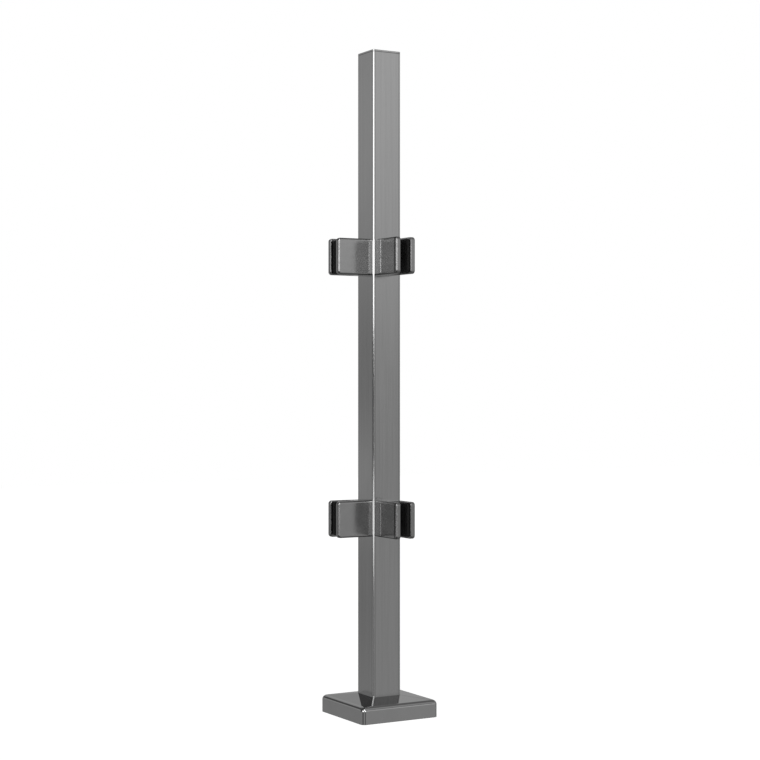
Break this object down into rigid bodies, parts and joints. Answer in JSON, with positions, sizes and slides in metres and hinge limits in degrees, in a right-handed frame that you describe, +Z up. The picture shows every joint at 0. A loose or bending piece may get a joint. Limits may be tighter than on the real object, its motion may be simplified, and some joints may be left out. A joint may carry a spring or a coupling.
{
  "type": "balustrade corner post",
  "caption": "Square metal balustrade corner post with a flush cap, a square foot cover that slides up, and slotted glass clamps on two neighbouring faces.",
  "frame": {"origin": "on the post's axis at floor level, at the centre of the floor anchor pattern", "axes": "+Z up along the post; the glass clamps stand on the -X and the -Y face"},
  "size_m": [0.1539, 0.1539, 1.0668],
  "materials": {
    "post_metal": "satin gunmetal with a fine vertical grain",
    "cover_metal": "polished gunmetal",
    "clamp_metal": "polished gunmetal",
    "bare_steel": "mill finish",
    "screw_steel": "bright",
    "rubber": "matt"
  },
  "bodies": {
    "post": {"post_tube": "post_metal", "top_cap": "post_metal", "base_plate": "bare_steel", "base_weld": "bare_steel", "upper_left_clamp_body": "clamp_metal", "upper_left_fixed_gasket": "rubber", "upper_left_mount_screws": "screw_steel", "upper_left_mount_washers": "screw_steel", "upper_left_rivet_nuts": "screw_steel", "lower_left_clamp_body": "clamp_metal", "lower_left_fixed_gasket": "rubber", "lower_left_mount_screws": "screw_steel", "lower_left_mount_washers": "screw_steel", "lower_left_rivet_nuts": "screw_steel", "upper_right_clamp_body": "clamp_metal", "upper_right_fixed_gasket": "rubber", "upper_right_mount_screws": "screw_steel", "upper_right_mount_washers": "screw_steel", "upper_right_rivet_nuts": "screw_steel", "lower_right_clamp_body": "clamp_metal", "lower_right_fixed_gasket": "rubber", "lower_right_mount_screws": "screw_steel", "lower_right_mount_washers": "screw_steel", "lower_right_rivet_nuts": "screw_steel"},
    "base_cover": {"base_cover": "cover_metal"},
    "upper_left_jaw": {"upper_left_jaw_plate": "clamp_metal", "upper_left_plate_gasket": "rubber", "upper_left_jaw_screws": "screw_steel"},
    "lower_left_jaw": {"lower_left_jaw_plate": "clamp_metal", "lower_left_plate_gasket": "rubber", "lower_left_jaw_screws": "screw_steel"},
    "upper_right_jaw": {"upper_right_jaw_plate": "clamp_metal", "upper_right_plate_gasket": "rubber", "upper_right_jaw_screws": "screw_steel"},
    "lower_right_jaw": {"lower_right_jaw_plate": "clamp_metal", "lower_right_plate_gasket": "rubber", "lower_right_jaw_screws": "screw_steel"}
  },
  "joints": [
    {"name": "base_cover_slide", "type": "slide", "parent": "post", "child": "base_cover", "axis": [0, 0, 1], "range_m": [0, 0.25]},
    {"name": "upper_left_jaw_slide", "type": "slide", "parent": "post", "child": "upper_left_jaw", "axis": [0, 1, 0], "range_m": [0, 0.006]},
    {"name": "lower_left_jaw_slide", "type": "slide", "parent": "post", "child": "lower_left_jaw", "axis": [0, 1, 0], "range_m": [0, 0.006]},
    {"name": "upper_right_jaw_slide", "type": "slide", "parent": "post", "child": "upper_right_jaw", "axis": [1, 0, 0], "range_m": [0, 0.006]},
    {"name": "lower_right_jaw_slide", "type": "slide", "parent": "post", "child": "lower_right_jaw", "axis": [1, 0, 0], "range_m": [0, 0.006]}
  ]
}
